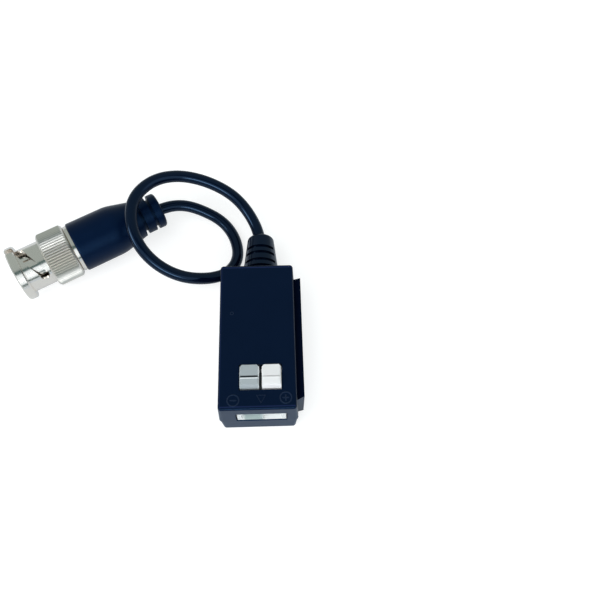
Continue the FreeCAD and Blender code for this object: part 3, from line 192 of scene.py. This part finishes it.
# Room round the part, by the direction in which it lies, as the parts of a unit vector
ROOM = (0.372, 0.425, 0.412)
NEAR_SIDE = (0.05, 0.25)
NEAR_TOP = (0.91, 0.95)
NEAR_GAP = (0.06, 0.11, 0.11)
WALL = (0.95, 1.05, 1.12)
WALL_FOOT = (0.13, 0.19)
WALL_HEAD = (0.76, 0.84)
LAMPS = (7.2, 7.6, 7.8)
MIDDLE_LAMP_X = (0.0, 0.20)
SIDE_LAMP_X = (-0.76, 0.10)
LAMPS_Z = (0.44, 0.08)

# Soft lamp above
OVERHEAD_AT = Vector((-120, -100, 420)) * MM
OVERHEAD_AIM = Vector((-20, 10, 0)) * MM
OVERHEAD_SIZE = 300 * MM
OVERHEAD_WATTS = 0.8


def plug_point(station):
    return PLUG_POS + Vector((math.cos(PLUG_YAW), math.sin(PLUG_YAW), 0)) * station


class Sock:
    """One output of a shader node, for use in Python expressions."""

    def __init__(self, look, socket):
        self.look = look
        self.socket = socket

    def math(self, kind, first, second=0.0):
        return self.look.node("ShaderNodeMath", {"operation": kind}, {0: first, 1: second})

    def __add__(self, other):
        return self.math("ADD", self, other)

    __radd__ = __add__

    def __sub__(self, other):
        return self.math("SUBTRACT", self, other)

    def __rsub__(self, other):
        return self.math("SUBTRACT", other, self)

    def __mul__(self, other):
        return self.math("MULTIPLY", self, other)

    __rmul__ = __mul__

    def __abs__(self):
        return self.math("ABSOLUTE", self)

    def larger(self, other):
        return self.math("MAXIMUM", self, other)

    def near(self, value, reach):
        """1 within reach of the value, and 0 from half as far again."""
        return 1.0 - abs(self - value).smooth(reach, 1.5 * reach)

    def smooth(self, low, high):
        """0 up to low, 1 from high on, and an even turn between them."""
        return self.look.node(
            "ShaderNodeMapRange",
            {"interpolation_type": "SMOOTHSTEP"},
            {"Value": self, "From Min": low, "From Max": high},
        )


class Look:
    """A node tree under construction, of a material or of the world."""

    def __init__(self, tree):
        self.tree = tree

    def feed(self, value, socket):
        if isinstance(value, Sock):
            self.tree.links.new(value.socket, socket)
        else:
            socket.default_value = value

    def node(self, kind, settings, sockets, out=0):
        node = self.tree.nodes.new(kind)
        for name, value in settings.items():
            setattr(node, name, value)
        for key, value in sockets.items():
            self.feed(value, node.inputs[key])
        return Sock(self, node.outputs[out])

    def place(self):
        return self.node("ShaderNodeTexCoord", {}, {}, "Object")

    def axes(self, source):
        split = self.tree.nodes.new("ShaderNodeSeparateXYZ")
        self.feed(source, split.inputs[0])
        return [Sock(self, output) for output in split.outputs]

    def noise(self, scale, detail=2.0):
        """Noise from 0 to 1 on object coordinates."""
        sockets = {"Vector": self.place(), "Scale": scale, "Detail": detail}
        return self.node("ShaderNodeTexNoise", {}, sockets)

    def blend(self, factor, low, high):
        """A colour between two others, each a triple or a link."""
        ends = [end if isinstance(end, Sock) else (*end, 1.0) for end in (low, high)]
        return self.node("ShaderNodeMix", {"data_type": "RGBA"}, {0: factor, 6: ends[0], 7: ends[1]}, 2)

    def ray(self, kind):
        return self.node("ShaderNodeLightPath", {}, {}, kind)


def new_material(name):
    mat = bpy.data.materials.new(name)
    mat.use_nodes = True
    look = Look(mat.node_tree)
    return mat, look, mat.node_tree.nodes["Principled BSDF"]


def bump(look, shader, height, strength):
    raised = look.node(
        "ShaderNodeBump", {}, {"Height": height, "Strength": strength, "Distance": BUMP_DEPTH}, "Normal"
    )
    look.feed(raised, shader.inputs["Normal"])


def moulded(name, low, high, rough, grain=MOULD_GRAIN, relief=0.15, ior=1.5, tint=(1, 1, 1), colour=None):
    """Moulded plastic: faint blotches, fine grain and a little variation in gloss."""
    mat, look, shader = new_material(name)
    body = look.blend(look.noise(BLOTCHES, 3.0), low, high)
    look.feed(colour(look, body) if colour else body, shader.inputs["Base Color"])
    look.feed(look.noise(GLOSS_CLOUDS, 4.0) * GLOSS_SPREAD + rough, shader.inputs["Roughness"])
    shader.inputs["IOR"].default_value = ior
    shader.inputs["Specular Tint"].default_value = (*tint, 1)
    bump(look, shader, look.noise(grain), relief)
    return mat


def plated(name, low, high, rough, spread=0.08, relief=0.08, colour=None, satin=None):
    """Plated or bare metal with clouded patches and fine marks; satin adds roughness in places."""
    mat, look, shader = new_material(name)
    shader.inputs["Metallic"].default_value = 1.0
    body = look.blend(look.noise(PLATING_CLOUDS, 4.0), low, high)
    look.feed(colour(look, body) if colour else body, shader.inputs["Base Color"])
    fine = look.noise(SCUFFS, 5.0)
    extra = satin(look) if satin else 0.0
    look.feed(fine * spread + rough + extra, shader.inputs["Roughness"])
    bump(look, shader, fine, relief)
    return mat


def painted_edge_highlight(look, body):
    """A painted highlight: a light line just inside the edges of the housing's top."""
    low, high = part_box("cover_shell")
    x, y, z = look.axes(look.place())
    centre = ((low[0] + high[0]) / 2, (low[1] + high[1]) / 2)
    half = ((high[0] - low[0]) / 2 - EDGE_INSET, (high[1] - low[1]) / 2 - EDGE_INSET)
    beyond = (abs(x - centre[0]) - half[0]).larger(abs(y - centre[1]) - half[1])
    line = beyond.near(0.0, EDGE_LINE) * z.smooth(high[2] - EDGE_SKIN, high[2] - EDGE_SKIN / 2)
    return look.blend(line, body, EDGE_HIGHLIGHT)


def strip_shades(look, body):
    """The terminal strip: painted shade, dark on its top round the levers and grey-green in the recess at
    the minus pole.
    """
    x, y, z = look.axes(look.place())
    after_left = x.smooth(RECESS_X[0] - RECESS_EDGE, RECESS_X[0] + RECESS_EDGE)
    before_right = 1.0 - x.smooth(RECESS_X[1] - RECESS_EDGE, RECESS_X[1] + RECESS_EDGE)
    front = 1.0 - y.smooth(RECESS_Y, RECESS_Y + RECESS_EDGE)
    # Painted shade, grey-green, in the wire entry at the minus pole.
    recess = look.blend(after_left * before_right * front, body, RECESS_SHADE)
    # Painted shade, near black, over the strip's top where it shows round the levers.
    return look.blend(z.smooth(GAP_SHADE_Z, GAP_SHADE_Z + GAP_SHADE_EDGE), recess, GAP_SHADE_COLOUR)


def lever_shades(node, groove_shade, highlight_colour):
    """Painted highlights on the sides and ridge of a lever, most on its far half, and painted shade in the
    groove across it.
    """
    low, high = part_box(node)

    def colour(look, body):
        x, y, z = look.axes(look.place())
        middle = (low[0] + high[0]) / 2
        half = (high[0] - low[0]) / 2
        aside = abs(x - middle)
        side = aside.smooth(half - LEVER_HIGHLIGHT_SIDE[0], half - LEVER_HIGHLIGHT_SIDE[1])
        far_half = y.smooth(LEVER_GROOVE_Y, LEVER_GROOVE_Y + LEVER_FAR_EDGE)
        highlight_share = far_half * (1.0 - LEVER_NEAR_HIGHLIGHT) + LEVER_NEAR_HIGHLIGHT
        top = z.smooth(high[2] - LEVER_HIGHLIGHT_TOP[0], high[2] - LEVER_HIGHLIGHT_TOP[1])
        ridge = y.near(LEVER_RIDGE_Y, LEVER_RIDGE_HALF) * LEVER_RIDGE_HIGHLIGHT
        # Painted highlight on the sides and the ridge.
        highlighted = look.blend((side * highlight_share).larger(ridge) * top, body, highlight_colour)
        # Painted shade in the groove.
        groove = y.near(LEVER_GROOVE_Y, LEVER_GROOVE_HALF)
        inner = 1.0 - aside.smooth(half - LEVER_GROOVE_ENDS[0], half - LEVER_GROOVE_ENDS[1])
        return look.blend(groove * inner, highlighted, groove_shade)

    return colour


def along_plug(look):
    """The station along the plug's axis, and the square of the distance from it."""
    x, y, z = look.axes(look.place())
    east = x - PLUG_POS.x
    north = y - PLUG_POS.y
    rise = z - PLUG_POS.z
    station = east * math.cos(PLUG_YAW) + north * math.sin(PLUG_YAW)
    across = north * math.cos(PLUG_YAW) - east * math.sin(PLUG_YAW)
    return station, across * across + rise * rise


def on_knurl(station, inset=0.0):
    """1 on the knurled band, less a stretch at each of its ends."""
    first = KNURL_S[0] + inset
    last = KNURL_S[1] - inset
    return station.smooth(first - KNURL_EDGE, first) * (1.0 - station.smooth(last, last + KNURL_EDGE))


def knurl_shades(look, body):
    """Duller plating on the knurl, with painted shade in the bottoms of its grooves."""
    station, square = along_plug(look)
    bottom, shoulder = [(radius / MM) ** 2 for radius in KNURL_SHADE_R]
    groove = 1.0 - (square * (1.0 / MM**2)).smooth(bottom, shoulder)
    dull = look.blend(on_knurl(station), body, KNURL_DULL)
    # Painted shade in the bottoms of the grooves.
    return look.blend(on_knurl(station, KNURL_BEVEL) * groove, dull, KNURL_GROOVE_SHADE)


def knurl_satin(look):
    return on_knurl(along_plug(look)[0]) * KNURL_SATIN


def make_materials():
    blue = {"tint": (0.20, 0.50, 1.0), "ior": 1.33}
    fine = {"grain": 5000.0, "relief": 0.3}
    # Each lever: painted shade in its groove, then painted highlight on its sides and ridge.
    minus_shades = lever_shades("lever_minus", (0.030, 0.036, 0.042), (0.86, 0.88, 0.89))
    plus_shades = lever_shades("lever_plus", (0.75, 0.74, 0.74), (0.86, 0.85, 0.85))
    return {
        "shell_black": moulded("shell_black", (0.0012, 0.0038, 0.0145), (0.0018, 0.0052, 0.0190), 0.26,
                               relief=0.12, colour=painted_edge_highlight, **blue),
        # The marks: the shell's plastic, made lighter as a painted highlight on the raised lines.
        "marks_painted_highlight": moulded("marks_painted_highlight", (0.006, 0.011, 0.026), (0.016, 0.024, 0.048), 0.30, **blue),
        "terminal_white": moulded("terminal_white", (0.72, 0.73, 0.72), (0.78, 0.79, 0.78), 0.35,
                                  colour=strip_shades),
        "lever_grey": moulded("lever_grey", (0.34, 0.375, 0.395), (0.39, 0.425, 0.445), 0.38,
                              colour=minus_shades, **fine),
        "lever_white": moulded("lever_white", (0.78, 0.76, 0.76), (0.82, 0.81, 0.81), 0.35,
                               colour=plus_shades, **fine),
        "spring_steel": plated("spring_steel", (0.52, 0.52, 0.53), (0.62, 0.62, 0.63), 0.22),
        "tinned_contact": plated("tinned_contact", (0.58, 0.58, 0.56), (0.68, 0.68, 0.66), 0.30),
        "board": moulded("board", (0.02, 0.14, 0.06), (0.03, 0.18, 0.08), 0.35),
        "ferrite": moulded("ferrite", (0.025, 0.025, 0.03), (0.045, 0.045, 0.05), 0.7),
        "enamel_wire": plated("enamel_wire", (0.40, 0.13, 0.04), (0.50, 0.18, 0.06), 0.25),
        "arrester_ceramic": moulded("arrester_ceramic", (0.66, 0.66, 0.62), (0.74, 0.74, 0.70), 0.25),
        "capacitor_ceramic": moulded("capacitor_ceramic", (0.52, 0.26, 0.05), (0.62, 0.34, 0.08), 0.35),
        "core_insulation": moulded("core_insulation", (0.70, 0.70, 0.66), (0.78, 0.77, 0.73), 0.4),
        "tinned_braid": plated("tinned_braid", (0.50, 0.48, 0.45), (0.64, 0.62, 0.58), 0.35),
        "cable_vinyl": moulded("cable_vinyl", (0.0003, 0.0016, 0.0080), (0.0006, 0.0026, 0.0105), 0.10,
                               grain=4000.0, relief=0.1, ior=1.46, tint=(0.34, 0.60, 1.0)),
        "boot_blue_black": moulded("boot_blue_black", (0.0006, 0.0036, 0.0160), (0.0012, 0.0054, 0.0220),
                                   0.30, **blue),
        "nickel": plated("nickel", (0.84, 0.79, 0.73), (0.91, 0.86, 0.80), 0.12),
        "nickel_satin": plated("nickel_satin", (0.84, 0.79, 0.73), (0.91, 0.86, 0.80), 0.13,
                               colour=knurl_shades, satin=knurl_satin),
        "plug_insulator": moulded("plug_insulator", (0.76, 0.76, 0.74), (0.84, 0.83, 0.81), 0.4),
        "gold_pin": plated("gold_pin", (0.82, 0.56, 0.20), (0.90, 0.66, 0.28), 0.18),
        "gasket_silicone": moulded("gasket_silicone", (0.26, 0.03, 0.02), (0.34, 0.05, 0.04), 0.5),
        "washer_brass": plated("washer_brass", (0.56, 0.42, 0.16), (0.68, 0.52, 0.22), 0.25),
    }


def finish_mesh(mesh, material):
    """The mesh takes the material, with smooth faces between sharp edges."""
    mesh.materials.clear()
    mesh.materials.append(material)
    mesh.polygons.foreach_set("use_smooth", [True] * len(mesh.polygons))
    mesh.set_sharp_from_angle(angle=SHARP_EDGE)


def paint_nodes(frame, materials):
    """Each CAD node takes the material of its slot."""
    slots = {part["node"]: part["material_slot"] for part in frame["record"]["subparts"]}
    for name, obj in frame["nodes"].items():
        finish_mesh(obj.data, materials[slots[name]])


def select_only(*objs):
    bpy.ops.object.select_all(action="DESELECT")
    for obj in objs:
        obj.select_set(True)
    bpy.context.view_layer.objects.active = objs[-1]


def make_cord(materials):
    """The lead as one round curve through the points that the CAD tube follows."""
    curve = bpy.data.curves.new("lead", "CURVE")
    curve.dimensions = "3D"
    curve.bevel_depth = CORD_R
    curve.bevel_resolution = 8
    curve.resolution_u = 10
    curve.use_fill_caps = True
    spline = curve.splines.new("NURBS")
    points = [Vector(point) * MM for point in CORD_POINTS]
    points += [plug_point(CORD_TURN_S), plug_point(CORD_END_S)]
    spline.points.add(len(points) - 1)
    for point, place in zip(spline.points, points):
        point.co = (*place, 1.0)
    spline.order_u = 3
    spline.use_endpoint_u = True
    curve.materials.append(materials["cable_vinyl"])
    lead = bpy.data.objects.new("lead", curve)
    bpy.context.scene.collection.objects.link(lead)
    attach(lead, "housing")
    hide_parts("cord")


def make_springs(frame, materials):
    """The springs as copies of their nodes, with doubled vertices merged."""
    along = Vector((math.cos(PLUG_YAW), math.sin(PLUG_YAW), 0))
    upright = Vector((0, 0, 1))
    clamp_seat = upright * CLAMP_SEAT_Z
    springs = (
        ("coupling_coil", "coupling_spring", "sleeve_pull", along, plug_point(COIL_SEAT_S), COIL_KEEP),
        ("clamp_strip_minus", "clamp_spring_minus", "press_minus", upright, clamp_seat, CLAMP_KEEP),
        ("clamp_strip_plus", "clamp_spring_plus", "press_plus", upright, clamp_seat, CLAMP_KEEP),
    )
    for name, node, joint, axis, seat, keep in springs:
        mesh = frame["nodes"][node].data.copy()
        mesh.name = name
        mesh.transform(frame["nodes"][node].matrix_world)
        spring = bpy.data.objects.new(name, mesh)
        bpy.context.scene.collection.objects.link(spring)
        select_only(spring)
        bpy.ops.object.mode_set(mode="EDIT")
        bpy.ops.mesh.select_all(action="SELECT")
        bpy.ops.mesh.remove_doubles(threshold=MERGE_GAP)
        bpy.ops.object.mode_set(mode="OBJECT")
        finish_mesh(mesh, materials["spring_steel"])
        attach(spring, "housing")
        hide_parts(node)
        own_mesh(spring)


def bead_ring(place, across, line, corners=40, turn=0.0):
    """A closed bead that stands MARK_HEIGHT proud of the top; three corners make an arrowhead."""
    bpy.ops.mesh.primitive_torus_add(
        major_segments=corners,
        minor_segments=12,
        major_radius=(across - line) / 2,
        minor_radius=line / 2,
        location=(*place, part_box("cover_shell")[1][2]),
        rotation=(0, 0, turn),
    )
    ring = bpy.context.object
    ring.scale.z = MARK_HEIGHT / (line / 2)
    return ring


def bead_bar(place, length, turn=0.0):
    """A straight bead with rounded flanks and ends."""
    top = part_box("cover_shell")[1][2]
    bpy.ops.mesh.primitive_cube_add(size=1.0, location=(*place, top), rotation=(0, 0, turn))
    bar = bpy.context.object
    bar.scale = (length, MARK_LINE, 2 * MARK_HEIGHT)
    bpy.ops.object.transform_apply(location=False, rotation=False, scale=True)
    bpy.ops.object.mode_set(mode="EDIT")
    bpy.ops.mesh.select_all(action="SELECT")
    bpy.ops.mesh.bevel(offset=MARK_ROUND, segments=3, affect="EDGES")
    bpy.ops.object.mode_set(mode="OBJECT")
    return bar


def make_marks(materials):
    """The raised signs over the two poles, the arrow between them and the gate mark behind."""
    pieces = [
        bead_ring(MINUS_AT, MARK_RING, MARK_LINE),
        bead_bar(MINUS_AT, MARK_SIGN),
        bead_ring(PLUS_AT, MARK_RING, MARK_LINE),
        bead_bar(PLUS_AT, MARK_SIGN),
        bead_bar(PLUS_AT, MARK_SIGN, math.pi / 2),
        bead_ring(ARROW_AT, MARK_ARROW, MARK_LINE, 3, -math.pi / 2),
        bead_ring(DIMPLE_AT, DIMPLE_RING, DIMPLE_LINE, 24),
    ]
    select_only(*pieces)
    bpy.ops.object.join()
    marks = bpy.context.object
    bpy.ops.object.transform_apply(location=True, rotation=True, scale=True)
    bpy.ops.object.shade_smooth_by_angle(angle=SHARP_BEAD)
    marks.name = "polarity_marks"
    marks.data.materials.append(materials["marks_painted_highlight"])
    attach(marks, "housing")


def make_camera():
    forward = Vector((0, math.cos(CAMERA_PITCH), -math.sin(CAMERA_PITCH)))
    right = Vector((1, 0, 0))
    down = forward.cross(right)
    turn = Matrix.Rotation(CAMERA_YAW, 3, "Z")
    forward = turn @ forward
    right = turn @ right
    down = turn @ down
    c = math.cos(CAMERA_ROLL)
    s = math.sin(CAMERA_ROLL)
    across = c * right + s * down
    up = s * right - c * down
    data = bpy.data.cameras.new("camera")
    data.sensor_width = SENSOR_MM
    data.lens = FOCAL_PX / PICTURE_PX * SENSOR_MM
    data.clip_start = CAMERA_NEAR
    camera = bpy.data.objects.new("camera", data)
    rotation = Matrix((across, up, -forward)).transposed().to_4x4()
    camera.matrix_world = Matrix.Translation(CAMERA_POS) @ rotation
    bpy.context.scene.collection.objects.link(camera)
    bpy.context.scene.camera = camera


def make_floor():
    """White paper that burns out to plain white, keeps a faint shadow and glows cold in gloss."""
    mat, look, shader = new_material("paper")
    shader.inputs["Base Color"].default_value = (*PAPER_BODY, 1)
    shader.inputs["Roughness"].default_value = PAPER_ROUGH
    shader.inputs["Specular IOR Level"].default_value = 0.0
    x, y, z = look.axes(look.place())
    reach = y.smooth(*BEFORE_END_Y[:2]) * (1.0 - y.smooth(*BEFORE_END_Y[2:]))
    before_end = x.near(0.0, BEFORE_END_HALF) * reach
    cold = look.blend(before_end, PAPER_IN_GLOSS, PAPER_BEFORE_END)
    mirrored = look.blend(look.ray("Is Glossy Ray"), PAPER_IN_MATT, cold)
    glow = look.blend(look.ray("Is Camera Ray"), mirrored, PAPER_SEEN)
    look.feed(glow, shader.inputs["Emission Color"])
    shader.inputs["Emission Strength"].default_value = 1.0
    bpy.ops.mesh.primitive_plane_add(size=PAPER_SIZE, location=(0, 0, PAPER_Z))
    floor = bpy.context.object
    floor.name = "paper"
    floor.data.materials.append(mat)


def make_world():
    """A grey-green room; behind the camera a pale wall with two lamps, dark above and below it."""
    world = bpy.data.worlds.new("room")
    bpy.context.scene.world = world
    world.use_nodes = True
    world.node_tree.nodes.clear()
    look = Look(world.node_tree)
    x, y, z = look.axes(look.node("ShaderNodeTexCoord", {}, {}, "Generated"))
    near = (-1.0 * y).smooth(*NEAR_SIDE) * (1.0 - z.smooth(*NEAR_TOP))
    wall = z.smooth(*WALL_FOOT) * (1.0 - z.smooth(*WALL_HEAD))
    lamps = (x.near(*MIDDLE_LAMP_X) + x.near(*SIDE_LAMP_X)) * z.near(*LAMPS_Z)
    lit_wall = look.blend(lamps, WALL, LAMPS)
    near_side = look.blend(wall, NEAR_GAP, lit_wall)
    room = look.blend(near, ROOM, near_side)
    seen = look.blend(look.ray("Is Camera Ray"), room, (1.0, 1.0, 1.0))
    back = look.node("ShaderNodeBackground", {}, {"Color": seen})
    out = world.node_tree.nodes.new("ShaderNodeOutputWorld")
    look.feed(back, out.inputs["Surface"])


def make_lights():
    """One soft lamp above and to the left, kept out of the reflections."""
    data = bpy.data.lights.new("overhead", "AREA")
    data.shape = "SQUARE"
    data.size = OVERHEAD_SIZE
    data.energy = OVERHEAD_WATTS
    lamp = bpy.data.objects.new("overhead", data)
    lamp.location = OVERHEAD_AT
    aim = OVERHEAD_AIM - OVERHEAD_AT
    lamp.rotation_euler = aim.to_track_quat("-Z", "Y").to_euler()
    lamp.visible_glossy = False
    bpy.context.scene.collection.objects.link(lamp)


def main():
    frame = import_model()
    materials = make_materials()
    paint_nodes(frame, materials)
    make_springs(frame, materials)
    make_cord(materials)
    make_marks(materials)
    make_camera()
    make_floor()
    make_world()
    make_lights()
    bpy.context.scene.view_settings.view_transform = "Standard"


main()
